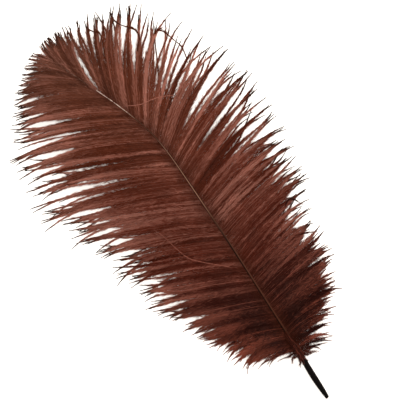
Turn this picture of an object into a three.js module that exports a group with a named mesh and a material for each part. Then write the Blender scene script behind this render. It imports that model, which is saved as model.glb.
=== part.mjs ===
// An ostrich plume, dyed brown: its quill and shaft, a vane of loose barbs down each side,
// and a tuft of down on each side above the bare quill.
//
// It lies hollow side down on a flat surface, on the end of its quill and the tips of its
// barbs. Millimetres. +Y runs along the plume from the quill's cut end to the tip, +X is
// towards the right vane and +Z is up. The tables below count from a line just above the
// quill's cut end, and the finished plume's origin is on the surface, under the middle of
// its outline.
import * as THREE from 'three';

// ---------- driving dimensions ----------

// The shaft: [along Y, across X, height of its centre, half its thickness].
const SHAFT = [
  [-1.8, 0, 1.4, 1.4],
  [5, 0.7, 2.4, 2.0],
  [18, 2.1, 4.6, 2.4],
  [30, 3.8, 6.7, 2.2],
  [37, 4.8, 7.8, 1.9],
  [70, 8.9, 12.4, 1.35],
  [98, 12.4, 15.6, 1.15],
  [133, 16.7, 18.8, 0.95],
  [165, 20.0, 20.8, 0.8],
  [200, 23.3, 21.8, 0.65],
  [216, 24.5, 21.9, 0.58],
  [231, 24.6, 21.6, 0.52],
  [246, 23.0, 20.9, 0.46],
  [270, 17.8, 18.7, 0.4],
  [290, 12.2, 15.8, 0.32],
  [308, 6.9, 11.9, 0.25],
  [324, 2.6, 8.0, 0.18],
];
const SHAFT_SIDES = 10;
const SHAFT_STEPS = 44;
const QUILL_CUT_LENGTH = 0.8; // the cut end is rounded over this length

// Tufts of barbs: [where the tuft leaves the shaft, along Y; its tip's X; its tip's Y].
const LEFT_DOWN = [
  [37, 1, 27],
  [39, -4, 36],
  [41, -13, 45],
  [44, -28, 49],
  [49, -32, 57],
  [54, -37, 62],
  [59, -38, 74],
  [63, -45, 81],
];
const LEFT_VANE = [
  [65, -46, 85],
  [70, -44, 92],
  [75, -47, 99],
  [80, -48, 108],
  [86, -53, 117],
  [92, -57, 125],
  [101, -62, 138],
  [107, -59, 146],
  [113, -59, 153],
  [118, -56, 159],
  [124, -65, 166],
  [129, -65, 172],
  [134, -63, 178],
  [141, -60, 185],
  [150, -68, 198],
  [156, -70, 206],
  [162, -65, 211],
  [169, -80, 224],
  [177, -68, 224],
  [183, -79, 234],
  [194, -82, 247],
  [203, -72, 259],
  [209, -75, 265],
  [216, -72, 271],
  [226, -70, 281],
  [233, -72, 288],
  [242, -65, 293],
  [250, -60, 299],
  [257, -57, 304],
  [266, -49, 310],
  [273, -48, 315],
  [280, -42, 317],
  [286, -37, 322],
  [291, -34, 324],
  [297, -29, 328],
  [303, -23, 331],
  [309, -16, 336],
  [315, -9, 339.5],
  [321, -6, 341],
];
const RIGHT_DOWN = [
  [37, 13, 30],
  [41, 28, 30],
  [45, 33, 35],
  [50, 41, 44],
  [55, 46, 49],
  [60, 54, 55],
  [64, 58, 59],
];
const RIGHT_VANE = [
  [66, 61, 62],
  [74, 64, 72],
  [81, 69, 79],
  [90, 76, 90],
  [97, 76, 98],
  [103, 74, 107],
  [109, 77, 112],
  [115, 82, 120],
  [121, 84, 128],
  [128, 87, 135],
  [134, 96, 140],
  [141, 96, 147],
  [151, 96, 156],
  [160, 101, 164],
  [167, 100, 172],
  [176, 108, 185],
  [183, 105, 198],
  [190, 107, 207],
  [198, 110, 218],
  [204, 109, 227],
  [210, 109, 237],
  [216, 108, 250],
  [222, 106, 259],
  [226, 98, 265],
  [230, 98, 277],
  [234, 95, 287],
  [237, 91, 293],
  [241, 85, 303],
  [246, 80, 315],
  [252, 76, 321],
  [259, 68, 327],
  [266, 61, 330],
  [271, 53, 335],
  [276, 44, 336],
  [281, 33, 339],
  [286, 24, 340],
  [293, 17, 340.5],
  [302, 10, 341],
  [312, 5.5, 341.5],
  [321, 1.5, 341.5],
];

const NOTCH_REACH = 0.86; // how far the barbs between two tufts reach, beside the tufts
const BOW = 0.07; // how far a barb bows towards the plume's tip, beside its length
const DROOP_POWER = 2.2; // how late along its length a barb droops
const TIP_DROOP_POWER = 4; // the same for the barbs of the tip, which curl over later
const CURL_START = 255; // the tip's barbs spring from between these places on the shaft
const CURL_END = 315;
const FOOT_START = 0.94; // from here to its tip a barb lies on the surface
const SHAFT_GAP = 0.4; // between the shaft's side and the barbs' roots

// Half the thickness of the layer of barbs at its root, thickest place and tips, and how
// far the barbs rise above a straight droop.
const VANE = { root: 0.5, thickest: 1.4, tip: 0.5, rise: 3, across: [0.12, 0.28, 0.46, 0.64, 0.8] };
const DOWN = { root: 1.2, thickest: 3.2, tip: 0.7, rise: 3, across: [0.2, 0.42, 0.66, 0.84] };

const DYED_BROWN = 0x5e3026;
const DYED_DOWN = 0x3f1d1b;
const DARK_QUILL = 0x1f1714;

// ---------- the shaft's line ----------

/** The values of a table at one place along its first column, joined smoothly. */
function along(table, place) {
  let row = 0;
  while (row < table.length - 2 && table[row + 1][0] < place) row += 1;
  const before = table[Math.max(row - 1, 0)];
  const from = table[row];
  const to = table[row + 1];
  const after = table[Math.min(row + 2, table.length - 1)];
  const step = to[0] - from[0];
  const t = THREE.MathUtils.clamp((place - from[0]) / step, 0, 1);
  return from.map((value, column) => {
    const slopeFrom = ((to[column] - before[column]) / (to[0] - before[0])) * step;
    const slopeTo = ((after[column] - value) / (after[0] - from[0])) * step;
    const rise = to[column] - value;
    return value + t * slopeFrom + t * t * (3 * rise - 2 * slopeFrom - slopeTo)
      + t * t * t * (slopeFrom + slopeTo - 2 * rise);
  });
}

/** The shaft's centre and half thickness at a place along Y. */
function shaftAt(y) {
  const [, x, z, half] = along(SHAFT, y);
  return { centre: new THREE.Vector3(x, y, z), half };
}

// ---------- closed solids ----------

function closedGeometry(points, faces) {
  const geometry = new THREE.BufferGeometry();
  const position = points.flatMap((point) => [point.x, point.y, point.z]);
  geometry.setAttribute('position', new THREE.Float32BufferAttribute(position, 3));
  geometry.setIndex(faces);
  geometry.computeVertexNormals();
  return geometry;
}

/** The quill and shaft: rings of points round the centre line, closed at both ends. */
function shaftGeometry() {
  const start = SHAFT[0][0];
  const full = start + QUILL_CUT_LENGTH;
  const end = SHAFT[SHAFT.length - 1][0];
  const stations = [start];
  for (let i = 0; i <= SHAFT_STEPS; i += 1) {
    stations.push(THREE.MathUtils.lerp(full, end, i / SHAFT_STEPS));
  }
  const points = [];
  stations.forEach((y, ring) => {
    const { centre, half } = shaftAt(y);
    const radius = ring === 0 ? half * 0.6 : half;
    for (let i = 0; i < SHAFT_SIDES; i += 1) {
      const angle = (2 * Math.PI * i) / SHAFT_SIDES;
      const side = new THREE.Vector3(Math.sin(angle), 0, Math.cos(angle));
      points.push(centre.clone().addScaledVector(side, radius));
    }
  });
  const faces = [];
  for (let ring = 0; ring < stations.length - 1; ring += 1) {
    for (let i = 0; i < SHAFT_SIDES; i += 1) {
      const next = (i + 1) % SHAFT_SIDES;
      const a = ring * SHAFT_SIDES + i;
      const b = ring * SHAFT_SIDES + next;
      faces.push(a, b, a + SHAFT_SIDES, b, b + SHAFT_SIDES, a + SHAFT_SIDES);
    }
  }
  const last = (stations.length - 1) * SHAFT_SIDES;
  for (let i = 1; i < SHAFT_SIDES - 1; i += 1) {
    faces.push(0, i + 1, i);
    faces.push(last, last + i, last + i + 1);
  }
  return closedGeometry(points, faces);
}

/** Points along the middle of one barb, from its root to its tip, with the layer's half
 *  thickness there. side is 1 for the right vane and -1 for the left. */
function barb(side, [rootY, tipX, tipY], reach, layer) {
  const { centre, half } = shaftAt(rootY);
  const root = new THREE.Vector2(centre.x + side * (half + SHAFT_GAP), rootY);
  const tip = new THREE.Vector2(tipX, tipY).sub(root).multiplyScalar(reach).add(root);
  const run = tip.clone().sub(root);
  const bend = new THREE.Vector2(-run.y * side, run.x * side).multiplyScalar(BOW);
  const path = new THREE.QuadraticBezierCurve(root, root.clone().add(tip).divideScalar(2).add(bend), tip);
  const curl = THREE.MathUtils.smoothstep(rootY, CURL_START, CURL_END);
  const power = THREE.MathUtils.lerp(DROOP_POWER, TIP_DROOP_POWER, curl);
  return [0, ...layer.across, FOOT_START, 1].map((t) => {
    const swell = Math.sin(Math.PI * t) ** 0.7;
    const edge = THREE.MathUtils.lerp(layer.root, layer.tip, t);
    const thick = THREE.MathUtils.lerp(edge, layer.thickest, t < FOOT_START ? swell : 0);
    const drop = Math.min(t / FOOT_START, 1);
    const lift = layer.rise * 4 * drop * (1 - drop);
    const height = THREE.MathUtils.lerp(centre.z, thick, drop ** power) + lift;
    const { x, y } = path.getPoint(t);
    return { x, y, height, thick };
  });
}

/** A layer of barbs as one closed sheet, arched from the shaft down to the barbs' tips. */
function barbLayer(side, tufts, layer) {
  const rows = [];
  tufts.forEach((tuft, i) => {
    rows.push(barb(side, tuft, 1, layer));
    if (i < tufts.length - 1) {
      const between = tuft.map((value, k) => (value + tufts[i + 1][k]) / 2);
      rows.push(barb(side, between, NOTCH_REACH, layer));
    }
  });
  const width = rows[0].length;
  const top = rows.flat().map(({ x, y, height, thick }) => new THREE.Vector3(x, y, height + thick));
  const bottom = rows.flat().map(({ x, y, height, thick }) => (
    new THREE.Vector3(x, y, Math.max(height - thick, 0))
  ));
  const under = top.length;
  const faces = [];
  const quad = (a, b, c, d) => {
    if (side > 0) faces.push(a, b, c, a, c, d);
    else faces.push(a, c, b, a, d, c);
  };
  for (let row = 0; row < rows.length - 1; row += 1) {
    for (let i = 0; i < width - 1; i += 1) {
      const a = row * width + i;
      const b = a + width;
      quad(a, a + 1, b + 1, b);
      quad(under + a, under + b, under + b + 1, under + a + 1);
    }
    const root = row * width;
    const tip = root + width - 1;
    quad(root, root + width, under + root + width, under + root);
    quad(tip, under + tip, under + tip + width, tip + width);
  }
  const last = (rows.length - 1) * width;
  for (let i = 0; i < width - 1; i += 1) {
    quad(i, under + i, under + i + 1, i + 1);
    quad(last + i, last + i + 1, under + last + i + 1, under + last + i);
  }
  return closedGeometry([...top, ...bottom], faces);
}

// ---------- the plume ----------

function piece(name, geometry, color, roughness) {
  const mesh = new THREE.Mesh(
    geometry,
    new THREE.MeshStandardMaterial({ color, roughness, metalness: 0 }),
  );
  mesh.name = name;
  return mesh;
}

const plume = new THREE.Group();
plume.add(piece('shaft', shaftGeometry(), DARK_QUILL, 0.4));
plume.add(piece('left_vane', barbLayer(-1, LEFT_VANE, VANE), DYED_BROWN, 0.65));
plume.add(piece('right_vane', barbLayer(1, RIGHT_VANE, VANE), DYED_BROWN, 0.65));
plume.add(piece('left_down', barbLayer(-1, LEFT_DOWN, DOWN), DYED_DOWN, 0.8));
plume.add(piece('right_down', barbLayer(1, RIGHT_DOWN, DOWN), DYED_DOWN, 0.8));

const outline = new THREE.Box3().setFromObject(plume);
const middle = outline.getCenter(new THREE.Vector3());
plume.position.set(-middle.x, -middle.y, -outline.min.z);

export default plume;
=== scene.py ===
"""A brown ostrich plume, lying hollow side down on a pale table.

It is built as it grew: the quill and shaft first, then the barbs that spring from both of
the shaft's sides, each with its own fine barbules, then the down above the bare quill, and
last the few barbs that have strayed across the others.
"""

import math

import bpy
import numpy as np
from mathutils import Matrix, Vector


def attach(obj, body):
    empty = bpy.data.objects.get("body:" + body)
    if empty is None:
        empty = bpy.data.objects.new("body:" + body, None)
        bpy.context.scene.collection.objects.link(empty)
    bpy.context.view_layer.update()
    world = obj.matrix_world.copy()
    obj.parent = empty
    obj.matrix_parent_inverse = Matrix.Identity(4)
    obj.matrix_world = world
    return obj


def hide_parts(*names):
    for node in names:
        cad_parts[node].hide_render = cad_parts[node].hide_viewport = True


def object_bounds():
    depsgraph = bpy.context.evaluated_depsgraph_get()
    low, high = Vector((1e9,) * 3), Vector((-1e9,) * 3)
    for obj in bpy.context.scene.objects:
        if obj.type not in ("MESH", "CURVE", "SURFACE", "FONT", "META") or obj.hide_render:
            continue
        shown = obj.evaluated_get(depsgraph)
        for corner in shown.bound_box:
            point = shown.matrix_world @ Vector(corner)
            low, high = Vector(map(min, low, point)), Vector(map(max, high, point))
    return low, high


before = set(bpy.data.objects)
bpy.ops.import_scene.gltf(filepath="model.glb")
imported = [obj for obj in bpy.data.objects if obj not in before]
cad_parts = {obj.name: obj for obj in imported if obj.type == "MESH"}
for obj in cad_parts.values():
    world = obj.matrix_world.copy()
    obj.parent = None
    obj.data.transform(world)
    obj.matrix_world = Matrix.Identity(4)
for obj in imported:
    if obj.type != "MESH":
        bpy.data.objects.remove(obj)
cad_low, cad_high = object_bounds()


# ---------- the shaft ----------
# The bare quill and the rachis above it are one tapering rod of keratin, grown by the bird.
# The quill is a round, hollow tube, cut square at its end. The rachis is squarer, with a
# groove along its back and another underneath, and every barb springs from its two sides.

MM = 0.001

# Along the plume, across it, height of the rod's centre above the table and half its
# thickness, all in millimetres.
SHAFT = np.array([
    [-1.8, 0, 1.4, 1.4],
    [5, 0.7, 2.4, 2.0],
    [18, 2.1, 4.6, 2.4],
    [30, 3.8, 6.7, 2.2],
    [37, 4.8, 7.8, 1.9],
    [70, 8.9, 12.4, 1.35],
    [98, 12.4, 15.6, 1.15],
    [133, 16.7, 18.8, 0.95],
    [165, 20.0, 20.8, 0.8],
    [200, 23.3, 21.8, 0.65],
    [216, 24.5, 21.9, 0.58],
    [231, 24.6, 21.6, 0.52],
    [246, 23.0, 20.9, 0.46],
    [270, 17.8, 18.7, 0.4],
    [290, 12.2, 16.2, 0.32],
    [308, 6.9, 12.6, 0.25],
    [324, 2.6, 8.6, 0.18],
])
LEFTMOST, LOWEST = -82.0, -1.8  # the plume's outline, counted as the shaft's table counts
SHAFT_RINGS = 170
SHAFT_SIDES = 28
# The cut end: how far each ring is from the cut plane, in mm, and its share of the thickness.
CUT_END = [(1.9, 0.1), (1.5, 0.42), (0.35, 0.5), (0.0, 0.62), (0.06, 0.78), (0.4, 0.93), (1.0, 1.0)]
QUILL_ENDS = 40.0  # above this the round quill turns into the squarer, grooved rachis
# The back's groove is turned towards the left vane, in degrees, low down and higher up.
GROOVE_TURN_LOW, GROOVE_TURN_HIGH = -30.0, -4.0


def along(table, places):
    """The values of a table at places along its first column, joined smoothly."""
    stops = table[:, 0]
    row = np.clip(np.searchsorted(stops, places) - 1, 0, len(table) - 2)
    before, start = table[np.maximum(row - 1, 0)], table[row]
    end, after = table[row + 1], table[np.minimum(row + 2, len(table) - 1)]
    step = end[:, :1] - start[:, :1]
    t = np.clip((np.asarray(places)[:, None] - start[:, :1]) / step, 0, 1)
    slope_start = (end - before) / (end[:, :1] - before[:, :1]) * step
    slope_end = (after - start) / (after[:, :1] - start[:, :1]) * step
    rise = end - start
    return (start + t * slope_start + t**2 * (3 * rise - 2 * slope_start - slope_end)
            + t**3 * (slope_start + slope_end - 2 * rise))


def smooth(low, high, value):
    """0 below low, 1 above high, and a soft step between them."""
    t = np.clip((value - low) / (high - low), 0, 1)
    return t * t * (3 - 2 * t)


def in_frame(points):
    """Table millimetres to the frame's metres."""
    offset = np.array([cad_low.x - LEFTMOST * MM, cad_low.y - LOWEST * MM, 0])
    return points * MM + offset


def new_piece(name, points, faces, attribute, values):
    """A mesh object from arrays, with a vector for each point that its material reads."""
    mesh = bpy.data.meshes.new(name)
    mesh.from_pydata(in_frame(points), [], faces)
    mesh.attributes.new(attribute, "FLOAT_VECTOR", "POINT")
    mesh.attributes[attribute].data.foreach_set("vector", values.astype(np.float32).ravel())
    piece = bpy.data.objects.new(name, mesh)
    bpy.context.scene.collection.objects.link(piece)
    return piece


def shaft_mesh():
    """Rings round the rod's centre line, from inside the hollow cut end to the fine tip."""
    length = SHAFT[-1, 0]
    cut_places = [SHAFT[0, 0] + inside for inside, _ in CUT_END]
    places = np.array(cut_places + list(np.linspace(cut_places[-1], length, SHAFT_RINGS)[1:]))
    shares = np.array([share for _, share in CUT_END] + [1.0] * (SHAFT_RINGS - 1))
    rows = along(SHAFT, places)
    angle = np.linspace(0, 2 * math.pi, SHAFT_SIDES, endpoint=False)
    across, up = np.sin(angle), np.cos(angle)
    rachis = smooth(QUILL_ENDS - 12, QUILL_ENDS + 30, places)[:, None]
    # 2 gives a circle, and a larger power a squarer rod.
    power = 2 + 0.9 * rachis
    girth = 1 / (np.abs(across) ** power + np.abs(up) ** power) ** (1 / power)
    turn = GROOVE_TURN_LOW + (GROOVE_TURN_HIGH - GROOVE_TURN_LOW) * smooth(120, 165, places)
    from_groove = angle - np.radians(turn)[:, None]
    back = np.arctan2(np.sin(from_groove), np.cos(from_groove))
    under = np.arctan2(np.sin(angle - math.pi), np.cos(angle - math.pi))
    girth -= rachis * (0.24 * np.exp(-((back / 0.26) ** 2)) + 0.3 * np.exp(-((under / 0.4) ** 2)))
    radius = girth * (rows[:, 3] * shares)[:, None]
    points = np.stack([
        rows[:, 1:2] + radius * across,
        np.repeat(places[:, None], SHAFT_SIDES, 1),
        rows[:, 2:3] + radius * up,
    ], -1)
    values = np.stack([
        np.repeat(places[:, None], SHAFT_SIDES, 1),
        np.sin(from_groove),
        np.cos(from_groove),
    ], -1)
    around = np.arange(SHAFT_SIDES)
    following = np.roll(around, -1)
    first = (np.arange(len(places) - 1) * SHAFT_SIDES)[:, None]
    last = first + SHAFT_SIDES
    faces = np.stack([first + around, last + around, last + following, first + following], -1)
    caps = [list(around), list(around[::-1] + (len(places) - 1) * SHAFT_SIDES)]
    return points.reshape(-1, 3), faces.reshape(-1, 4).tolist() + caps, values.reshape(-1, 3)


def colour(hex_value):
    """An sRGB hex colour as a linear RGBA colour."""
    channels = [((hex_value >> shift) & 255) / 255 for shift in (16, 8, 0)]
    linear = [c / 12.92 if c <= 0.04045 else ((c + 0.055) / 1.055) ** 2.4 for c in channels]
    return (*linear, 1.0)


def add_node(tree, kind, settings=None, sockets=None, stops=None):
    """Adds a node with its own settings, its sockets' values or links, and a ramp's stops."""
    node = tree.nodes.new(kind)
    for name, value in (settings or {}).items():
        setattr(node, name, value)
    for name, value in (sockets or {}).items():
        if isinstance(value, bpy.types.NodeSocket):
            tree.links.new(value, node.inputs[name])
        else:
            node.inputs[name].default_value = value
    for number, (place, hex_value) in enumerate(stops or []):
        elements = node.color_ramp.elements
        element = elements[number] if number < 2 else elements.new(place)
        element.position = place
        element.color = colour(hex_value)
    return node


def new_material(name):
    """A material with only its output node."""
    material = bpy.data.materials.new(name)
    material.use_nodes = True
    material.node_tree.nodes.clear()
    return material, material.node_tree


def dyed_keratin_with_painted_light():
    """Keratin dyed in a bath: the hard, smooth quill comes out nearly black with a soft
    gloss, and the rachis brown, paling to tan where the rod is thin, with fine ridges.
    Light and shade are painted on the rachis too: a painted highlight along its back,
    painted shade on its flanks higher up, and painted light on its right flank."""
    material, tree = new_material("dyed_keratin_with_painted_light")
    place = add_node(tree, "ShaderNodeAttribute", {"attribute_name": "rod"})
    parts = add_node(tree, "ShaderNodeSeparateXYZ", {}, {0: place.outputs["Vector"]})
    length = SHAFT[-1, 0]
    share = add_node(tree, "ShaderNodeMapRange", {}, {
        "Value": parts.outputs["X"],
        "From Max": length,
    })
    # Along the back: nearly black on the quill, and darker than the flanks low on the rachis. Higher
    # up a pale stripe that is partly the rachis's own tan and partly a painted highlight along its
    # top.
    back = add_node(tree, "ShaderNodeValToRGB", {}, {"Fac": share.outputs[0]}, [
        (0.0, 0x0b0908),
        (40 / length, 0x0c0908),
        (62 / length, 0x0f0402),
        (140 / length, 0x140703),
        (158 / length, 0x3c2216),
        (178 / length, 0x74503f),
        (205 / length, 0x765240),
        (222 / length, 0x6e4c3c),
        (231 / length, 0x4a2a1c),
        (250 / length, 0x4a2a1c),
        (257 / length, 0x8e6c5a),
        (263 / length, 0xc2a696),
        (284 / length, 0xd4beb0),
        (294 / length, 0x9c7c6c),
        (1.0, 0x8e6e60),
    ])
    # Along the flanks: nearly black on the quill, brown low on the rachis, darkened higher up by
    # painted shade beside the pale back, and tan near the tip.
    flank = add_node(tree, "ShaderNodeValToRGB", {}, {"Fac": share.outputs[0]}, [
        (0.0, 0x0a0807),
        (40 / length, 0x0d0a09),
        (66 / length, 0x32190f),
        (150 / length, 0x3a2016),
        (190 / length, 0x22120b),
        (258 / length, 0x24140c),
        (266 / length, 0x6e5242),
        (1.0, 0x5c4438),
    ])
    on_back = add_node(tree, "ShaderNodeMapRange", {"interpolation_type": "SMOOTHSTEP"}, {
        "Value": parts.outputs["Z"],
        "From Min": 0.86,
        "From Max": 0.98,
    })
    # The flank towards the right vane is painted paler: painted light, as if lit from the right.
    painted_side_light = add_node(tree, "ShaderNodeMapRange", {}, {
        "Value": parts.outputs["Y"],
        "From Min": -0.9,
        "From Max": 0.9,
        "To Min": 0.5,
        "To Max": 1.4,
    })
    flanks = add_node(tree, "ShaderNodeHueSaturation", {}, {
        "Color": flank.outputs["Color"],
        "Value": painted_side_light.outputs[0],
    })
    mixed = add_node(tree, "ShaderNodeMix", {"data_type": "RGBA"}, {
        0: on_back.outputs[0],
        6: flanks.outputs[0],
        7: back.outputs["Color"],
    })
    # Ridges 0.2 mm apart run along the rod; 8 mm patches take the dye differently.
    where = add_node(tree, "ShaderNodeTexCoord")
    stretched = add_node(tree, "ShaderNodeMapping", {}, {
        "Vector": where.outputs["Object"],
        "Scale": (1 / (0.2 * MM), 1 / (8 * MM), 1 / (0.2 * MM)),
    })
    ridges = add_node(tree, "ShaderNodeTexNoise", {}, {
        "Vector": stretched.outputs[0],
        "Scale": 1.0,
        "Detail": 3.0,
    })
    patched = add_node(tree, "ShaderNodeMix", {"data_type": "RGBA", "blend_type": "MULTIPLY"}, {
        0: 0.35,
        6: mixed.outputs[2],
        7: ridges.outputs["Color"],
    })
    gloss = add_node(tree, "ShaderNodeMapRange", {}, {
        "Value": parts.outputs["X"],
        "From Min": 36.0,
        "From Max": 90.0,
        "To Min": 0.3,
        "To Max": 0.55,
    })
    bump = add_node(tree, "ShaderNodeBump", {}, {
        "Strength": 0.25,
        "Distance": 0.05 * MM,
        "Height": ridges.outputs[0],
    })
    shader = add_node(tree, "ShaderNodeBsdfPrincipled", {}, {
        "Base Color": patched.outputs[2],
        "Roughness": gloss.outputs[0],
        "IOR": 1.54,
        "Specular IOR Level": 0.02,
        "Normal": bump.outputs[0],
    })
    add_node(tree, "ShaderNodeOutputMaterial", {}, {"Surface": shader.outputs[0]})
    return material


rod_points, rod_faces, rod_values = shaft_mesh()
shaft = new_piece("quill_and_rachis", rod_points, rod_faces, "rod", rod_values)
shaft.data.materials.append(dyed_keratin_with_painted_light())
shaft.data.shade_smooth()
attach(shaft, "root")
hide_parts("shaft")


# ---------- the barbs of the vane ----------
# About 260 soft barbs spring from each side of the shaft. Each is a thin stem with a row of
# long, fine barbules down both sides that don't hook together, so the vane stays loose, and
# neighbouring barbs cling in strands and tufts that end in fine dark tips.

# The tufts that the vane's edge is made of: where a tuft leaves the shaft, counted along the
# plume, and where its tip is, across the plume and along it, in millimetres.
LEFT_TUFTS = np.array([
    [37, 1, 27], [39, -4, 36], [41, -13, 45], [44, -28, 49], [49, -32, 57], [54, -37, 62],
    [59, -38, 74], [63, -45, 81], [65, -46, 85], [70, -44, 92], [75, -47, 99],
    [80, -48, 108], [86, -53, 117], [92, -57, 125], [101, -62, 138], [107, -59, 146],
    [113, -59, 153], [118, -56, 159], [124, -65, 166], [129, -65, 172], [134, -63, 178],
    [141, -60, 185], [150, -68, 198], [156, -70, 206], [162, -65, 211], [169, -80, 224],
    [177, -68, 224], [183, -79, 234], [194, -82, 247], [203, -72, 259], [209, -75, 265],
    [216, -72, 271], [226, -70, 281], [233, -72, 288], [242, -65, 293], [250, -60, 299],
    [257, -57, 304], [266, -49, 310], [273, -48, 315], [280, -42, 317], [286, -37, 322],
    [291, -34, 324], [297, -29, 328], [303, -23, 331], [309, -16, 336], [315, -9, 339.5],
    [321, -4, 341],
], float)
RIGHT_TUFTS = np.array([
    [37, 13, 30], [41, 28, 30], [45, 33, 35], [50, 41, 44], [55, 46, 49], [60, 54, 55],
    [64, 58, 59], [66, 61, 62], [74, 64, 72], [81, 69, 79], [90, 76, 90], [97, 76, 98],
    [103, 74, 107], [109, 77, 112], [115, 82, 120], [121, 84, 128], [128, 87, 135],
    [134, 96, 140], [141, 96, 147], [151, 96, 156], [160, 101, 164], [167, 100, 172],
    [176, 108, 185], [183, 105, 198], [190, 107, 207], [198, 110, 218], [204, 109, 227],
    [210, 109, 237], [216, 108, 250], [222, 106, 259], [226, 98, 265], [230, 98, 277],
    [234, 95, 287], [237, 91, 293], [241, 85, 303], [246, 80, 315], [252, 76, 321],
    [259, 68, 327], [266, 61, 330], [271, 53, 335], [276, 44, 336], [281, 33, 339],
    [286, 24, 340], [293, 17, 340.5], [302, 10, 341], [312, 5, 341.5], [321, 0, 341.5],
], float)
LEFT, RIGHT = -1, 1

# Where the vane's edge is split between two bundles of barbs: the place on the shaft that
# the split points at, and the share of the barbs' length at which it opens.
LEFT_SPLITS = np.array([
    [40, 0.8], [43, 0.85], [46, 0.8], [49.5, 0.85], [53, 0.8], [57, 0.85], [61, 0.82],
    [65, 0.84], [69, 0.82], [73, 0.84], [77, 0.82], [83, 0.85], [88, 0.83], [93, 0.8],
    [97.5, 0.7], [103, 0.8],
    [115.5, 0.77], [125, 0.88], [130.7, 0.79], [142, 0.83], [152, 0.67], [160, 0.73],
    [171, 0.73], [181, 0.66], [193.5, 0.73], [198.5, 0.58], [207, 0.85], [213, 0.82],
    [219.5, 0.73], [231, 0.62], [242.5, 0.42], [249.5, 0.62], [258, 0.6], [267.5, 0.62],
    [273, 0.72], [278, 0.66], [283.5, 0.7], [287, 0.85], [290, 0.72], [294, 0.85],
    [297.5, 0.8], [302, 0.9], [306, 0.9], [311, 0.92],
])
RIGHT_SPLITS = np.array([
    [40, 0.8], [43, 0.85], [46.5, 0.82], [50, 0.85], [53.5, 0.8], [57, 0.85], [60.5, 0.85],
    [64, 0.84], [68, 0.82], [71.5, 0.82], [75, 0.85], [78, 0.83], [83.5, 0.81],
    [92, 0.9], [99, 0.88], [110.5, 0.82], [116.5, 0.76], [122, 0.8], [129.5, 0.88],
    [137, 0.82], [144, 0.81], [149.5, 0.79], [157, 0.82], [162, 0.8], [170.5, 0.9],
    [176, 0.69], [180, 0.68], [185, 0.65], [191, 0.71], [199.5, 0.54], [204.5, 0.74],
    [208.5, 0.82], [214, 0.57], [220.5, 0.7], [225.5, 0.72], [230, 0.57], [234.5, 0.56],
    [239, 0.64], [245, 0.72], [249.5, 0.54], [256.5, 0.57], [263, 0.8], [268, 0.8],
    [272, 0.7], [275.5, 0.78], [279, 0.68], [282.5, 0.75], [285.5, 0.8], [288.5, 0.86],
    [292, 0.85], [296, 0.9], [300, 0.9], [306, 0.92],
])

BARB_SPACING = 1.1
FIRST_BARB, LAST_BARB = 36.5, 321.0
STRAND_SIZES, STRAND_CHANCES = [1, 2, 3], [0.35, 0.45, 0.2]
BUNDLE_PULL = 0.95  # how far the tips of a bundle's barbs are drawn together
NOTCH_REACH = 0.86  # how far the barbs between two tufts reach, beside the tufts
UNEVEN_REACH = 0.065  # how unevenly the barbs reach, beside their length
# How far a barb bows towards the plume's tip, beside its length, in the down and the vane.
DOWN_BOW, BOW = 0.24, 0.07
ARCH = 12.0  # how far the barbs rise above a straight droop, times 4
DROOP_POWER, TIP_DROOP_POWER = 2.2, 4.0  # how late a barb droops, and at the curled tip
CURL_START, CURL_END = 255.0, 315.0
# How far bundles, strands and single barbs sway sideways and their tips hook, and how far the
# down's strands wave, in mm on a barb of this length. Shorter ones sway less.
SWAY_LENGTH = 80.0
BUNDLE_SWAY, STRAND_SWAY, BARB_SWAY = 0.5, 0.9, 0.5
STRAND_HOOK, BARB_HOOK = 1.0, 1.8
DOWN_WAVE = 3.2
FOOT_START = 0.94  # from here to its tip a barb lies on the table
DOWN_ENDS, VANE_IS_PLAIN = 64.0, 118.0  # between these the barbules turn from down to vane
STEM_STEPS = 24
FLOOR_CLEARANCE = 0.3
MIDDLE_TONE = 0.465  # between the darkest barbs, 0, and the palest, 1
ROOT_ZONE, TIP_ZONE = 11.0, 14.0  # where a barb is darker, in mm from the shaft and the tip

# Where the vane has parted: the side, where the parting starts on the shaft, its width in
# millimetres and the shares of the barbs' length between which it is open. One that starts
# below 0 is open at the shaft too.
PARTINGS = [
    (RIGHT, 285.0, 3.3, -0.2, 0.76),
    (LEFT, 243.5, 2.0, 0.08, 0.95),
    (RIGHT, 257.0, 1.3, 0.3, 0.9),
    (RIGHT, 249.5, 1.3, 0.35, 0.9),
    (RIGHT, 199.5, 1.4, 0.15, 0.8),
    (RIGHT, 214.0, 1.4, 0.2, 0.8),
    (LEFT, 198.5, 1.2, 0.3, 0.85),
]

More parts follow.
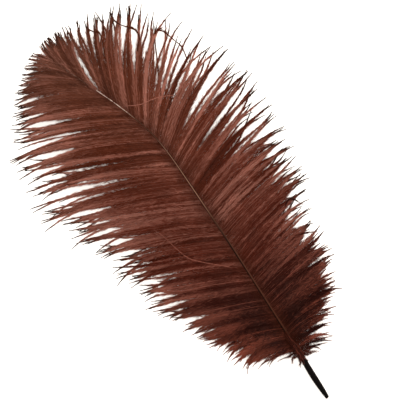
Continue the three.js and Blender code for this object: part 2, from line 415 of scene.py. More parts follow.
# Barbs that leave their strand and cross their neighbours: the side, where each springs from
# the shaft and how far its tip swings towards the plume's tip, or back, in millimetres.
CROSSING = [
    (RIGHT, 269.0, -6.0), (RIGHT, 263.0, 9.0), (RIGHT, 257.5, 5.0), (RIGHT, 247.0, -7.0),
    (RIGHT, 242.0, -6.0), (RIGHT, 240.0, 5.0), (RIGHT, 236.0, 8.0), (RIGHT, 232.0, 5.0),
    (RIGHT, 228.5, -6.0), (RIGHT, 224.0, -6.0), (RIGHT, 219.0, 7.0), (RIGHT, 215.5, 5.0),
    (RIGHT, 211.0, -6.0), (RIGHT, 205.0, -6.0), (RIGHT, 197.0, 8.0), (RIGHT, 192.0, -5.0),
    (RIGHT, 187.0, 6.0), (RIGHT, 181.0, 5.0), (RIGHT, 174.0, -7.0), (RIGHT, 168.0, 5.0),
    (RIGHT, 152.0, 6.0), (RIGHT, 142.0, -6.0), (RIGHT, 131.0, -6.0), (RIGHT, 118.0, 6.0),
    (RIGHT, 108.0, -6.0), (RIGHT, 96.0, 7.0), (RIGHT, 84.0, -6.0), (RIGHT, 71.0, -9.0),
    (LEFT, 258.0, -7.0), (LEFT, 252.0, 7.0), (LEFT, 247.0, 8.0), (LEFT, 238.0, -8.0),
    (LEFT, 231.0, -7.0), (LEFT, 225.0, -9.0), (LEFT, 217.0, 9.0), (LEFT, 211.0, -9.0),
    (LEFT, 208.0, 8.0), (LEFT, 204.0, 8.0), (LEFT, 199.5, 8.0), (LEFT, 195.0, -10.0),
    (LEFT, 190.0, 9.0), (LEFT, 187.0, -9.0), (LEFT, 182.0, 9.0), (LEFT, 177.0, -9.0),
    (LEFT, 172.0, 8.0), (LEFT, 169.0, 8.0), (LEFT, 165.0, -8.0), (LEFT, 158.0, -7.0),
    (LEFT, 151.0, 8.0), (LEFT, 143.0, 7.0), (LEFT, 137.0, -8.0), (LEFT, 129.0, 8.0),
    (LEFT, 122.0, -7.0), (LEFT, 116.0, -7.0), (LEFT, 110.0, 7.0), (LEFT, 104.0, -7.0),
    (LEFT, 98.0, 6.0), (LEFT, 92.0, -7.0), (LEFT, 86.0, 7.0), (LEFT, 77.0, -8.0),
    (LEFT, 69.0, 7.0), (LEFT, 60.0, -7.0), (LEFT, 52.0, -8.0), (LEFT, 45.0, 7.0),
]


def tip_places(tufts, places):
    """The tips of barbs that spring from these places on the shaft."""
    return np.stack([np.interp(places, tufts[:, 0], tufts[:, k]) for k in (1, 2)], 1)


def root_line(side, places):
    """Where barbs leave the shaft: high on its back low down, and from its sides above."""
    row = along(SHAFT, places)
    high = smooth(100, 170, places)
    across = row[:, 1] + side * row[:, 3] * (0.4 + 0.4 * high)
    height = row[:, 2] + row[:, 3] * (0.6 - 0.9 * high) - 1.3 * smooth(270, 300, places)
    return np.stack([across, places, height], 1)


def bowed_lines(side, places, tips, reach, t):
    """Points seen from above, along bowed lines from the shaft to these tips."""
    start = root_line(side, places)[:, :2]
    run = tips - start
    bow = BOW + (DOWN_BOW - BOW) * (1 - smooth(45, 85, places))[:, None]
    middle = (start + tips) / 2 + np.stack([-run[:, 1], run[:, 0]], 1) * side * bow
    t = (t * reach[:, None])[..., None]
    return (1 - t) ** 2 * start[:, None] + 2 * t * (1 - t) * middle[:, None] + t**2 * tips[:, None]


def middle_of(groups, roots):
    """For each barb, the middle of the places where the barbs of its group spring."""
    return (np.bincount(groups, roots) / np.maximum(np.bincount(groups), 1))[groups]


def barb_reach(draw, splits, roots, bundle_roots, curl, fluff):
    """How far each barb reaches, beside its tuft. A bundle's outer barbs are the shorter ones,
    and at the plume's tip all end nearly even."""
    count = len(roots)
    half = np.interp(roots, splits[1:, 0], np.diff(splits[:, 0])) / 2
    outer = np.clip(np.abs(roots - bundle_roots) / half, 0, 1)
    shorter = (1 - NOTCH_REACH) * outer * draw.uniform(0.1, 1.1, count)
    shorter += np.abs(draw.normal(0, UNEVEN_REACH, count))
    return 1.05 + 0.04 * np.maximum(fluff, curl) - shorter * (1 - 0.75 * curl)


def barb_sway(draw, t, bundle_draw, strand_draw, fluff):
    """How far each barb strays sideways, in millimetres for a barb of SWAY_LENGTH: bundles and
    strands sway and their tips hook a little, and each barb in one sways less."""
    count = len(t)
    phase = draw.uniform(0, 6, (count, 1))
    bundles = bundle_draw[:, :1] * t**2.5 + bundle_draw[:, 1:2] * np.sin(3 * t) * t
    strands = strand_draw[:, 1:2] * np.sin(2.6 * t + 3 * strand_draw[:, 2:3]) * t**1.4
    single = draw.normal(0, BARB_SWAY, (count, 1)) * np.sin(4.5 * t + phase) * t
    hooks = STRAND_HOOK * strand_draw[:, 3:4] * t**4 + draw.normal(0, BARB_HOOK, (count, 1)) * t**8
    waves = fluff[:, None] * strand_draw[:, 3:4] * np.sin(3.5 * t + phase) * t**2
    return BUNDLE_SWAY * bundles + STRAND_SWAY * strands + single + hooks + DOWN_WAVE * waves


def partings_and_splits(side, splits, roots, t):
    """How far the vane's partings push each barb aside, in millimetres, and how tightly its
    barbules fold to the stem there and beside a split."""
    push = np.zeros_like(t)
    tight = np.zeros_like(t)
    for parted_side, place, width, start, end in PARTINGS:
        if parted_side == side:
            away = (roots - place)[:, None]
            open_here = np.sin(math.pi * np.clip((t - start) / (end - start), 0, 1)) ** 0.7
            push += np.sign(away) * width / 2 * open_here * np.exp(-((away / 7) ** 2))
            tight = np.maximum(tight, open_here * np.exp(-((away / 3) ** 2)))
    for place, share in splits:
        beside = np.exp(-(((roots - place)[:, None] / 1.8) ** 2))
        tight = np.maximum(tight, 0.8 * smooth(share - 0.35, share, t) * beside)
    return push, tight


def barb_heights(draw, side, roots, t, length, curl, bundle_draw, strand_draw):
    """The barbs' heights above the table. They arch up from the shaft, droop to the table and
    lie on it at their tips, and strands pass over and under each other on the way."""
    drop = np.minimum(t / FOOT_START, 1)
    power = (DROOP_POWER + (TIP_DROOP_POWER - DROOP_POWER) * curl)[:, None]
    arch = ARCH * (1 - 0.65 * curl)[:, None]
    height = root_line(side, roots)[:, 2:] * (1 - drop**power) + arch * drop * (1 - drop)
    layer = 0.3 * bundle_draw[:, 2:3] + 0.6 * strand_draw[:, 4:5]
    layer += draw.normal(0, 0.3, (len(roots), 1))
    height += layer * np.sin(math.pi * t) ** 0.6 * np.clip(length / 60, 0.2, 1)
    return np.maximum(height, FLOOR_CLEARANCE + 0.15 * np.abs(strand_draw[:, 5:6]))


def barb_dye_and_painted_light(draw, side, roots, curl, fluff, strand_draw):
    """How each barb took the dye, with painted light: the right vane lighter, and each barb paler
    past its middle as if lit through.
    """
    # The right vane is painted a little lighter than the left, painted light as if lit from the
    # right, but its lowest part is darker.
    tone = MIDDLE_TONE + side * (0.07 * smooth(70, 130, roots) - 0.03 - 0.01 * curl)
    tone -= (0.11 + 0.01 * side) * (1 - smooth(48, 80, roots))
    tone += 0.09 * (1 - 0.6 * fluff) * strand_draw[:, 0] + draw.normal(0, 0.14, len(roots))
    above = smooth(90, 150, roots)
    # Painted light: past its middle a barb is painted paler, as if light shone through it.
    painted_backlight = 0.24 + (0.05 - 0.07 * side) * fluff - 0.19 * (side > 0) * above
    return {
        "tone": np.clip(tone, 0, 1),  # 0 is the darkest and 1 the palest
        "shine": np.clip(draw.normal(0.38, 0.55, len(roots)), -0.3, 1.4),  # of its stem
        "painted_backlight": painted_backlight * (1 - 0.4 * curl),
        "dusk": 0.04 + (0.17 + 0.09 * side) * above * (1 - 0.6 * curl),
    }


def barb_paths(side, tufts, splits, seed):
    """Every barb down one side: its points from root to tip and what its barbules need."""
    draw = np.random.default_rng(seed)
    roots = np.arange(FIRST_BARB, LAST_BARB, BARB_SPACING)
    roots = roots + draw.uniform(-0.3, 0.3, len(roots))
    count = len(roots)
    curl = smooth(CURL_START, CURL_END, roots)
    fluff = 1 - smooth(DOWN_ENDS, VANE_IS_PLAIN, roots)
    # The barbs of a strand share its draws, and those of a bundle too, so that they run
    # together. No strand lies across a parting.
    sizes = draw.choice(STRAND_SIZES, count, p=STRAND_CHANCES)
    strand = np.repeat(np.arange(count), sizes)[:count]
    partings = sorted(place for parted_side, place, *_ in PARTINGS if parted_side == side)
    strand = strand + np.searchsorted(partings, roots)
    strand_roots = middle_of(strand, roots)
    strand_draw = draw.normal(size=(count, 6))[strand]
    bundle = np.searchsorted(splits[:, 0], roots)
    bundle_roots = middle_of(bundle, roots)
    bundle_draw = draw.normal(size=(len(splits) + 1, 4))[bundle]
    opens = np.interp(roots, splits[:, 0], splits[:, 1])
    reach = barb_reach(draw, splits, roots, bundle_roots, curl, fluff)
    t = np.linspace(0, 1, STEM_STEPS + 1)[None].repeat(count, 0)
    pull = BUNDLE_PULL * (1 - 0.85 * curl) * (1 - 0.4 * fluff)
    pull *= np.clip(1 + 0.18 * strand_draw[:, 5], 0.55, 1.2)
    gathers = smooth((opens - 0.17 - 0.33 * fluff)[:, None], 0.93, t)[..., None]

    def gathered(places):
        """Lines from these places on the shaft, drawn to the tip of their bundle."""
        tips = tip_places(tufts, places)
        bundle_tips = tips + pull[:, None] * (tip_places(tufts, bundle_roots) - tips)
        own = bowed_lines(side, places, tips, reach, t)
        return own + gathers * (bowed_lines(side, places, bundle_tips, reach, t) - own)

    # A strand's barbs cling together soon after the shaft, and part a little at their tips.
    cling = np.clip(0.75 + 0.15 * strand_draw[:, :1], 0.3, 0.95)
    to_strand = (cling * (smooth(0.08, 0.6, t) - 0.15 * smooth(0.8, 1.0, t)))[..., None]
    plan = gathered(roots)
    plan += to_strand * (gathered(strand_roots) - plan)

    run = plan[:, -1] - plan[:, 0]
    length = np.linalg.norm(run, axis=1, keepdims=True)
    aside = np.stack([-run[:, 1], run[:, 0]], 1) / length * side
    sway = barb_sway(draw, t, bundle_draw, strand_draw, fluff)
    sway *= np.clip(length / SWAY_LENGTH, 0.12, 1.2)
    push, tight = partings_and_splits(side, splits, roots, t)
    sway += push
    for crossing_side, place, swing in CROSSING:
        if crossing_side == side:
            sway[np.abs(roots - place).argmin()] += swing * t[0] ** 4
    plan = plan + sway[..., None] * aside[:, None]
    height = barb_heights(draw, side, roots, t, length, curl, bundle_draw, strand_draw)
    return {
        "roots": roots,
        "points": np.concatenate([plan, height[..., None]], -1),
        "t": t,
        "tight": tight,  # how closely the barbules fold to the stem
        "length": length[:, 0],
        "fluff": fluff,  # 1 for down and 0 for plain vane
        "opens": opens,  # the share of its length where its bundle comes apart from the next
        "curl": curl,  # 1 at the plume's curled tip
        "girth": np.ones(count),  # of the stem, beside the usual
        "clad": np.ones(count),  # how many barbules it has, beside the usual
        **barb_dye_and_painted_light(draw, side, roots, curl, fluff, strand_draw),
    }


def at(values, barb, t):
    """The value of a per-barb line at shares t of the barbs' length."""
    place = np.clip(t, 0, 1) * STEM_STEPS
    step = np.minimum(place.astype(int), STEM_STEPS - 1)
    part = (place - step).reshape((-1,) + (1,) * (values.ndim - 2))
    return values[barb, step] * (1 - part) + values[barb, step + 1] * part


def dye_place(t, length, curl):
    """0 at the shaft, a half all along a barb's middle, and 1 at its tip."""
    tip_zone = TIP_ZONE * np.clip(length / 70, 0.6, 1.1) * (1 - 0.75 * curl)
    past_root = smooth(0, ROOT_ZONE, t * length)
    near_tip = 1 - smooth(0, tip_zone, (1 - t) * length)
    return 0.5 * past_root + 0.5 * near_tip


def backlight_and_tip_tone(t, painted_backlight, dusk):
    """How much paler a barb is painted past its middle, a painted light shining through it,
    less how much darker it is again near its tip."""
    return painted_backlight * smooth(0.2, 0.7, t) - dusk * smooth(0.7, 0.95, t)


def root_share(roots):
    """Where along the shaft a barb springs: 0 at the quill and 1 at the plume's tip."""
    return (roots - FIRST_BARB) / (LAST_BARB - FIRST_BARB)


# A barb's stem is thickest at its root, and thicker low on the shaft than near the tip.
STEM_RADIUS_LOW, STEM_RADIUS_HIGH, STEM_RADIUS_END = 0.28, 0.19, 0.16
STEM_SIDES = 3
TONE_LIMIT = 0.48  # how far a fibre's own tone may go, so that the rows of its map stay apart


def unit(vectors):
    """The same directions with length 1."""
    return vectors / np.linalg.norm(vectors, axis=-1, keepdims=True)


def stems(barbs):
    """Each barb's stem: a three-sided tube, with its dye values and its place on the map."""
    points, t = barbs["points"], barbs["t"]
    share = root_share(barbs["roots"])[:, None]
    forward = unit(np.gradient(points, axis=1))
    aside = unit(np.stack([-forward[..., 1], forward[..., 0], np.zeros_like(t)], -1))
    over = np.cross(forward, aside)
    thick = STEM_RADIUS_LOW + (STEM_RADIUS_HIGH - STEM_RADIUS_LOW) * share
    radius = (thick + (STEM_RADIUS_END - thick) * t**0.6) * barbs["girth"][:, None]
    corners = np.arange(STEM_SIDES) * 2 * math.pi / STEM_SIDES
    outward = np.stack([math.sin(a) * aside + math.cos(a) * over for a in corners], 2)
    rings = points[:, :, None] + radius[..., None, None] * outward
    shape = rings.shape[:3]
    index = np.arange(rings.size // 3).reshape(shape)
    faces = []
    for corner in range(STEM_SIDES):
        following = (corner + 1) % STEM_SIDES
        quad = [index[:, :-1, corner], index[:, :-1, following],
                index[:, 1:, following], index[:, 1:, corner]]
        a, b, c, d = [q.ravel() for q in quad]
        faces += [np.stack([a, b, c], 1), np.stack([a, c, d], 1)]
    # Some stems are painted paler than their barbules, a painted highlight where they catch the
    # light, most of all near the root; each is painted lighter on its back and darker below, painted
    # light and shade.
    paler = (barbs["shine"][:, None] * (0.5 - 0.3 * t))[..., None] + [0.03, -0.1, -0.02]
    paler = np.clip(paler, -TONE_LIMIT, TONE_LIMIT)
    dye = dye_place(t, barbs["length"][:, None], barbs["curl"][:, None])
    tone = barbs["tone"][:, None] + backlight_and_tip_tone(t, barbs["painted_backlight"][:, None], barbs["dusk"][:, None])
    values = np.stack([
        np.broadcast_to(dye[..., None], shape),
        tone[..., None] + paler,
        np.broadcast_to(share[..., None], shape),
    ], -1)
    chart = np.stack([
        np.broadcast_to(t[..., None], shape),
        np.broadcast_to(np.arange(len(t))[:, None, None], shape),
        paler,
    ], -1)
    return rings.reshape(-1, 3), np.concatenate(faces), values.reshape(-1, 3), chart.reshape(-1, 3)


# Real barbules are 0.02 mm wide and some 20 to the millimetre: these are fewer and coarser,
# so that they show and still cover as much.
BARBULE_WIDTH = 0.27
BARBULES_PER_MM = 10.5
BARBULE_LENGTH = 5.5
BARBULE_BENDS = 0.45  # the share of its length where a barbule is widest and bends forward
FREE_BARBULES = 0.22  # the share of barbules that float clear of their strand
BARBULE_FOOT = 0.12  # how far from the middle of the stem a barbule springs
BARBULE_CLEARANCE = 0.08


def barbule_lengths(draw, barbs, barb, t, apart):
    """The barbules' lengths: they are longest along a barb's middle, and short at its tip."""
    barb_length, clad = barbs["length"][barb], barbs["clad"][barb]
    length = BARBULE_LENGTH * (0.8 + 0.2 * smooth(0, 8, t * barb_length))
    length *= 1 + 0.1 * smooth(0, 0.4, apart) - 0.45 * smooth(0.5, 1.0, apart)
    length *= 0.25 + 0.75 * smooth(0, 14, (1 - t) * barb_length)
    length *= draw.uniform(0.6, 1.2, len(barb)) * np.clip(barb_length / 45, 0.5, 1)
    return length * (0.3 + 0.7 * clad)


def barbule_angles(draw, barbs, barb, t, apart, free):
    """How far the barbules stand away from the stem: far in the down and beside the shaft,
    and little near a barb's tip and where the vane has parted."""
    soft = barbs["fluff"][barb]
    by_shaft = 1 - smooth(0, 4, t * barbs["length"][barb])
    degrees = 17 - 12 * smooth(0, 0.5, apart) + 18 * soft * (1 - apart) + 22 * by_shaft
    degrees *= 1 + 1.2 * free
    angle = np.radians(degrees) * draw.uniform(0.5, 1.5, len(barb))
    tight = at(barbs["tight"], barb, t)
    return angle * (1 - np.where(free, 0.8 * smooth(0.8, 1.0, tight), 0.6 * tight))


def barbules(barbs, seed):
    """The barbules down both sides of the barbs: bent kites that lean to the barb's tip and
    hang a little, close to the stem near its end."""
    draw = np.random.default_rng(seed)
    number = barbs["length"] * BARBULES_PER_MM * (1 + 0.7 * barbs["fluff"]) * barbs["clad"]
    number = np.round(number).astype(int)
    barb = np.repeat(np.arange(len(number)), number)
    count = len(barb)
    barb_length = barbs["length"][barb]
    # The first of them spring from the shaft itself and close the gap beside it.
    t = np.maximum(draw.uniform(-1.5 / barb_length, 0.99), 0)
    root = at(barbs["points"], barb, t)
    ahead = at(barbs["points"], barb, t + 0.5 / STEM_STEPS)
    forward = unit(ahead - at(barbs["points"], barb, t - 0.5 / STEM_STEPS))
    aside = unit(np.stack([-forward[:, 1], forward[:, 0], np.zeros(count)], 1))
    aside *= np.where(draw.random(count) < 0.5, 1, -1)[:, None]
    over = np.cross(forward, aside)
    over *= np.sign(over[:, 2:3])

    # 0 where the vane is closed and 1 at the barb's tip, where the barbules cling to the stem.
    closed = barbs["opens"][barb] - 0.2
    apart = np.clip((t - closed) / (1 - closed), 0, 1) * (1 - 0.8 * barbs["curl"][barb])
    free = draw.random(count) < FREE_BARBULES
    length = barbule_lengths(draw, barbs, barb, t, apart)
    angle = barbule_angles(draw, barbs, barb, t, apart, free)
    lift = np.radians(draw.normal(-22, 14, count) * (1 + 0.5 * barbs["fluff"][barb]))
    lift = np.clip(lift, -1.1, 0.7)
    sideways = np.cos(lift)[:, None] * aside + np.sin(lift)[:, None] * over

    def leaning(share):
        """The way a barbule runs, at this share of its angle from the stem."""
        return np.cos(angle * share)[:, None] * forward + np.sin(angle * share)[:, None] * sideways

    root += BARBULE_FOOT * aside
    middle = root + leaning(1.0) * (length * BARBULE_BENDS)[:, None]
    end = middle + leaning(0.35) * (length * (1 - BARBULE_BENDS))[:, None]
    flat = unit(np.cross(end - root, over + draw.normal(0, 0.35, (count, 3))))
    flat *= (BARBULE_WIDTH / 2 * draw.uniform(0.7, 1.3, count))[:, None]
    points = np.stack([root, middle + flat, end, middle - flat], 1)
    points[..., 2] = np.maximum(points[..., 2], BARBULE_CLEARANCE)
    first = np.arange(count)[:, None] * 4
    faces = np.concatenate([first + [0, 1, 3], first + [1, 2, 3]])

    reached = length / barb_length
    bends = t + BARBULE_BENDS * reached
    shares = np.stack([t, bends, t + reached, bends], 1)
    # A barbule's end is painted darker down in the closed vane, painted shade, and paler where light
    # comes through, painted light.
    ends = -0.14 + 0.46 * smooth(0.1, 0.6, apart) * (1 + free)
    # Barbules that hang lower are painted darker: painted shade.
    own_tone_and_hang_shade = 0.1 * lift + draw.normal(0, 0.16, count).clip(-0.35, 0.35)
    steps = np.stack([0 * ends, 0.4 * ends + 0.05, ends, 0.4 * ends - 0.05], 1)
    tones = (0.7 * (own_tone_and_hang_shade[:, None] + steps)).clip(-TONE_LIMIT, TONE_LIMIT)
    painted_backlit = backlight_and_tip_tone(shares, barbs["painted_backlight"][barb][:, None], barbs["dusk"][barb][:, None])
    values = np.stack([
        dye_place(np.clip(shares, 0, 1), barb_length[:, None], barbs["curl"][barb][:, None]),
        barbs["tone"][barb][:, None] + painted_backlit + tones,
        np.repeat(root_share(barbs["roots"])[barb][:, None], 4, 1),
    ], -1)
    chart = np.stack([shares, np.repeat(barb[:, None], 4, 1), tones], -1)
    return points.reshape(-1, 3), faces, values.reshape(-1, 3), chart.reshape(-1, 3)


def dyed_barb_with_painted_light():
    """Barbs and barbules dyed reddish brown: silky fibres that let some light through, with
    each barb a little lighter or darker, browner at the root and nearly black at the tip.
    The palest fibres are painted pinkish, a painted light shining through them."""
    material, tree = new_material("dyed_barb_with_painted_light")
    place = add_node(tree, "ShaderNodeAttribute", {"attribute_name": "barb"})
    parts = add_node(tree, "ShaderNodeSeparateXYZ", {}, {0: place.outputs["Vector"]})

    def mix(first, second, share, low, high, at_low, at_high):
        """A mix whose share goes from at_low to at_high as a value goes from low to high."""
        factor = add_node(tree, "ShaderNodeMapRange", {}, {
            "Value": share,
            "From Min": low,
            "From Max": high,
            "To Min": at_low,
            "To Max": at_high,
        })
        return add_node(tree, "ShaderNodeMix", {"data_type": "RGBA"}, {
            0: factor.outputs[0],
            6: first,
            7: second,
        }).outputs[2]

    # Darkest in the down, reddest in the lower vane and brownest at the tip.
    body = add_node(tree, "ShaderNodeValToRGB", {}, {"Fac": parts.outputs["Z"]}, [
        (0.0, 0x260b09),
        (0.08, 0x200806),
        (0.18, 0x2b0a06),
        (0.3, 0x4a190d),
        (0.5, 0x511e0f),
        (0.75, 0x592918),
        (1.0, 0x583325),
    ])
    # The palest fibres are painted pinkish: painted light shining through them.
    painted_backlit = mix(colour(0x96503e), colour(0xb27a69), parts.outputs["Z"], 0.1, 0.4, 0.0, 1.0)
    pale = mix(body.outputs["Color"], painted_backlit, parts.outputs["Y"], 0.45, 1.1, 0.0, 0.8)
    toned = mix(pale, colour(0x200a06), parts.outputs["Y"], -0.1, 0.5, 0.8, 0.0)
    rooted = mix(toned, colour(0x38160b), parts.outputs["X"], 0.0, 0.45, 0.6, 0.0)
    tip = mix(colour(0x64392e), colour(0x231611), parts.outputs["Z"], 0.08, 0.26, 0.0, 1.0)
    tipped = mix(rooted, tip, parts.outputs["X"], 0.58, 0.95, 0.0, 1.0)
    # Patches some 14 mm across took the dye a little lighter or darker.
    where = add_node(tree, "ShaderNodeTexCoord")
    patches = add_node(tree, "ShaderNodeTexNoise", {}, {
        "Vector": where.outputs["Object"],
        "Scale": 1 / (14 * MM),
        "Detail": 1.0,
    })
    brightness = add_node(tree, "ShaderNodeMapRange", {}, {
        "Value": patches.outputs[0],
        "From Min": 0.3,
        "From Max": 0.7,
        "To Min": 0.88,
        "To Max": 1.12,
    })
    dyed = add_node(tree, "ShaderNodeHueSaturation", {}, {
        "Color": tipped,
        "Value": brightness.outputs[0],
    })
    body_shader = add_node(tree, "ShaderNodeBsdfPrincipled", {}, {
        "Base Color": dyed.outputs[0],
        "Roughness": 0.45,
        "IOR": 1.55,
        "Specular IOR Level": 0.08,
        "Specular Tint": colour(0xe8b8a4),
    })
    # Light that has passed through is redder and brighter than what the dye sends back.
    glow = add_node(tree, "ShaderNodeHueSaturation", {}, {
        "Color": dyed.outputs[0],
        "Saturation": 1.05,
        "Value": 1.9,
    })
    through = add_node(tree, "ShaderNodeBsdfTranslucent", {}, {"Color": glow.outputs[0]})
    shader = add_node(tree, "ShaderNodeMixShader", {}, {
        0: 0.4,
        1: body_shader.outputs[0],
        2: through.outputs[0],
    })
    add_node(tree, "ShaderNodeOutputMaterial", {}, {"Surface": shader.outputs[0]})
    return material


def some_barbs(barbs, chosen):
    """The same record, holding only the chosen barbs."""
    return {name: values[chosen] for name, values in barbs.items()}


def barb_piece(name, barbs, seed):
    """One piece of vane or down: the stems and barbules of these barbs as one mesh. Its map
    has a row for each barb, with its length across and its lighter fibres higher up."""
    stem_points, stem_faces, stem_values, stem_chart = stems(barbs)
    hair_points, hair_faces, hair_values, hair_chart = barbules(barbs, seed)
    points = np.concatenate([stem_points, hair_points])
    faces = np.concatenate([stem_faces, hair_faces + len(stem_points)])
    values = np.concatenate([stem_values, hair_values])
    piece = new_piece(name, points, faces.tolist(), "barb", values)
    share, row, tone = np.concatenate([stem_chart, hair_chart]).T
    # 0.9 leaves room for barbules that run past a tip, and a margin between rows.
    chart = np.stack([0.02 + 0.9 * share, (row + 0.5 + 0.9 * tone) / len(barbs["roots"])], 1)
    corners = chart[faces.ravel()].astype(np.float32)
    piece.data.uv_layers.new(name="OFBake")
    piece.data.uv_layers["OFBake"].data.foreach_set("uv", corners.ravel())
    piece.data.materials.append(barb_material)
    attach(piece, "root")
    return piece


barb_material = dyed_barb_with_painted_light()
VANE_STARTS = 64.5
VANE_THIRDS = {"lower": (VANE_STARTS, 152.0), "middle": (152.0, 236.0), "upper": (236.0, math.inf)}
sides = {
    "left": barb_paths(LEFT, LEFT_TUFTS, LEFT_SPLITS, 11),
    "right": barb_paths(RIGHT, RIGHT_TUFTS, RIGHT_SPLITS, 12),
}
for side_name, side_barbs in sides.items():
    for third, (start, end) in VANE_THIRDS.items():
        chosen = (side_barbs["roots"] >= start) & (side_barbs["roots"] < end)
        vane = barb_piece(f"{side_name}_vane_barbs_{third}", some_barbs(side_barbs, chosen), 21)
        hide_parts(f"{side_name}_vane")


# ---------- the down ----------
# The first barbs above the bare quill are short, limp and darker, with barbules that stand
# out in all directions, so they make a fluffy tuft on each side.

for side_name, side_barbs in sides.items():
    chosen = side_barbs["roots"] < VANE_STARTS
    down = barb_piece(f"{side_name}_down_barbs", some_barbs(side_barbs, chosen), 31)
    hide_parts(f"{side_name}_down")


# ---------- the stray barbs ----------
# A few barbs have worked loose from their neighbours and lie across them, some curling over
# at the edge. Above the quill, limp down barbs fold back along the shaft and cover it.

# Each one's route from the shaft, seen from above, across the plume and along it in
# millimetres, the share of it that is hidden among the others, and how pale it is.
STRAYS = [
    ([(23.8, 240), (40, 268), (55, 290), (62, 297), (64, 303), (61.5, 309), (58, 316), (57, 322),
      (59, 328)], 0.6, 0.0),
    ([(14.2, 113), (7, 122), (-0.7, 131), (-9, 141), (-13.5, 148), (-16, 159), (-17.3, 171),
      (-21, 184)], 0.2, 0.85),
    ([(24.6, 221), (45, 250), (62, 276), (72, 291), (77, 294.5), (80, 290), (81.5, 283), (83, 276),
      (81.5, 267), (79, 261)], 0.65, 0.1),
    ([(9.6, 76), (32, 97), (55, 121), (68, 132), (73.5, 133), (77, 127), (79, 123)], 0.8, 0.1),
    ([(18.8, 266), (28, 288), (36, 306), (40, 314), (41.5, 319), (39, 324), (37.5, 329),
      (38, 334)], 0.7, 0.0),
    ([(18.6, 267), (25, 262), (32, 257.5), (39, 255.5), (46, 253), (51, 250), (57, 245.5)], 0.1, 1.0),
]
FOLDED_BACK = 24  # the number of down barbs that do so
STRAY_SUNK = 2.5  # how far a stray is sunk among the other barbs where it is hidden
STRAY_RISES = 4.0  # and how far it rises from there to lie over them
STRAY_DIVES = 5.0  # and how far its end dives back in
ROD_IN_THE_WAY = (30, 320)  # the stretch of the shaft that a stray can lie on


def folded_routes(seed):
    """Routes for the down barbs that lie back along the shaft, towards the quill."""
    draw = np.random.default_rng(seed)
    routes = []
    for _ in range(FOLDED_BACK):
        places = np.linspace(draw.uniform(41, 60), draw.uniform(29, 38), 5)
        u = np.linspace(0, 1, 5)
        aside = draw.normal(-0.2, 1.5) * (1 - u) + draw.normal(-0.4, 1.9) * u**1.5
        aside += draw.normal(0, 0.3, 5) * u
        route = np.column_stack([along(SHAFT, places)[:, 1] + aside, places])
        routes.append((route, 0.0, draw.uniform(0.2, 1.0)))
    return routes


def stray_paths(seed):
    """The stray barbs as a record like the one of a side's barbs."""
    draw = np.random.default_rng(seed)
    places = np.linspace(*ROD_IN_THE_WAY, 300)
    rod = along(SHAFT, places)
    rod_top = np.column_stack([rod[:, 1], places, rod[:, 2] + rod[:, 3]])
    cover = np.concatenate([rod_top] + [barbs["points"].reshape(-1, 3) for barbs in sides.values()])
    t = np.linspace(0, 1, STEM_STEPS + 1)
    lines = []
    routes = STRAYS + folded_routes(seed)
    for number, (route, hidden, _) in enumerate(routes):
        route = np.array(route, float)
        passed = np.concatenate([[0], np.cumsum(np.linalg.norm(np.diff(route, axis=0), axis=1))])
        plan = along(np.column_stack([passed, route]), t * passed[-1])[:, 1:]
        away = np.linalg.norm(cover[None, :, :2] - plan[:, None], axis=2)
        # It rests on whatever barbs are within 3 mm, or on the table past the vane's edge.
        under = np.where(away < 3.0, cover[None, :, 2], 0.0).max(1)
        under = np.convolve(np.pad(under, 2, "edge"), np.full(5, 0.2), "valid")
        above = STRAY_RISES * smooth(hidden - 0.1, hidden + 0.05, t) - STRAY_SUNK
        above -= STRAY_DIVES * smooth(0.92, 1.0, t)
        # It ripples about every 6 mm, where it passes over the strands below.
        above += np.sin(1.1 * t * passed[-1]) * (0.2 if number >= len(STRAYS) else 1.0)
        lines.append(np.column_stack([plan, np.maximum(under + above, FLOOR_CLEARANCE)]))
    points = np.array(lines)
    count = len(points)
    pale = np.array([paleness for *_, paleness in routes])
    folded = np.arange(count) >= len(STRAYS)
    # The pale ones have lost most of their barbules, so that the bare stem shows.
    return {
        "roots": points[:, 0, 1],
        "points": points,
        "t": t[None].repeat(count, 0),
        "tight": np.ones((count, STEM_STEPS + 1)),
        "tone": 0.1 + 0.7 * pale + draw.normal(0, 0.02, count),
        "length": np.linalg.norm(np.diff(points, axis=1), axis=2).sum(1),
        "fluff": 0.6 * folded,
        "opens": 0.9 * folded,
        "curl": np.full(count, 0.6),
        "shine": pale,
        "painted_backlight": np.zeros(count),
        "dusk": np.zeros(count),
        "girth": 1.4 - 0.5 * folded,
        "clad": 0.15 + 0.1 * folded + 0.75 * (pale < 0.2),
    }


strays = barb_piece("stray_barbs", stray_paths(51), 52)


# ---------- the table, the light and the camera ----------
# The plume lies on a plain pale table. A soft lamp stands on its upper right and another
# hangs beside the camera, which looks straight down, with the tip at the upper left.

TABLE_SIZE = 3.0
VIEW_WIDTH = 0.300  # what the camera sees across, at the height of the barbs
VIEW_MIDDLE = (0.0066, 0.0056, 0.010)  # the point that it looks at
VIEW_TURN = math.radians(-39.475)  # from +Y up the picture
LENS, SENSOR = 100.0, 36.0  # in millimetres, the sensor across
SKY_STRENGTH = 0.45


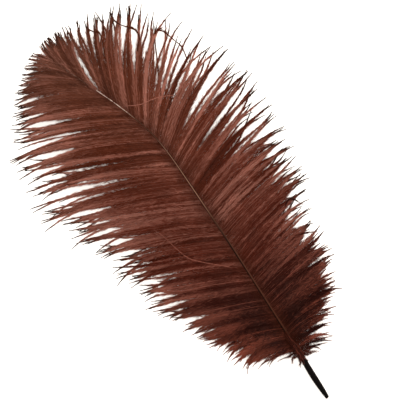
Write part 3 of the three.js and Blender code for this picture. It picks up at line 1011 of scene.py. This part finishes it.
def matt_table():
    """Cream matt laminate: even and slightly rough, so that shadows on it are soft and warm."""
    material, tree = new_material("matt_table")
    shader = add_node(tree, "ShaderNodeBsdfPrincipled", {}, {
        "Base Color": colour(0xf2ebe4),
        "Roughness": 0.9,
        "Specular IOR Level": 0.1,
    })
    add_node(tree, "ShaderNodeOutputMaterial", {}, {"Surface": shader.outputs[0]})
    return material


half = TABLE_SIZE / 2
table_mesh = bpy.data.meshes.new("table")
table_mesh.from_pydata([(-half, -half, 0), (half, -half, 0), (half, half, 0), (-half, half, 0)],
                       [], [(0, 1, 2, 3)])
table = bpy.data.objects.new("table", table_mesh)
table.data.materials.append(matt_table())
bpy.context.scene.collection.objects.link(table)

# Each lamp's name, place in metres, width and power.
LAMPS = [
    ("side_lamp", (1.5, 0.76, 1.9), 0.8, 42.0),
    ("overhead_lamp", (0.02, 0.01, 0.86), 0.12, 8.2),
]
for lamp_name, place, width, power in LAMPS:
    lamp_data = bpy.data.lights.new(lamp_name, "AREA")
    lamp_data.shape = "DISK"
    lamp_data.size = width
    lamp_data.energy = power
    lamp = bpy.data.objects.new(lamp_name, lamp_data)
    lamp.location = place
    lamp.rotation_euler = lamp.location.to_track_quat("Z", "Y").to_euler()
    bpy.context.scene.collection.objects.link(lamp)

sky = bpy.data.worlds.new("studio")
sky.use_nodes = True
sky.node_tree.nodes["Background"].inputs["Color"].default_value = (1, 1, 1, 1)
sky.node_tree.nodes["Background"].inputs["Strength"].default_value = SKY_STRENGTH
bpy.context.scene.world = sky
bpy.context.scene.view_settings.view_transform = "Standard"

camera_data = bpy.data.cameras.new("camera")
camera_data.lens = LENS
camera_data.sensor_width = SENSOR
camera = bpy.data.objects.new("camera", camera_data)
camera.location = (VIEW_MIDDLE[0], VIEW_MIDDLE[1], VIEW_MIDDLE[2] + VIEW_WIDTH * LENS / SENSOR)
camera.rotation_euler = (0, 0, VIEW_TURN)
bpy.context.scene.collection.objects.link(camera)
bpy.context.scene.camera = camera
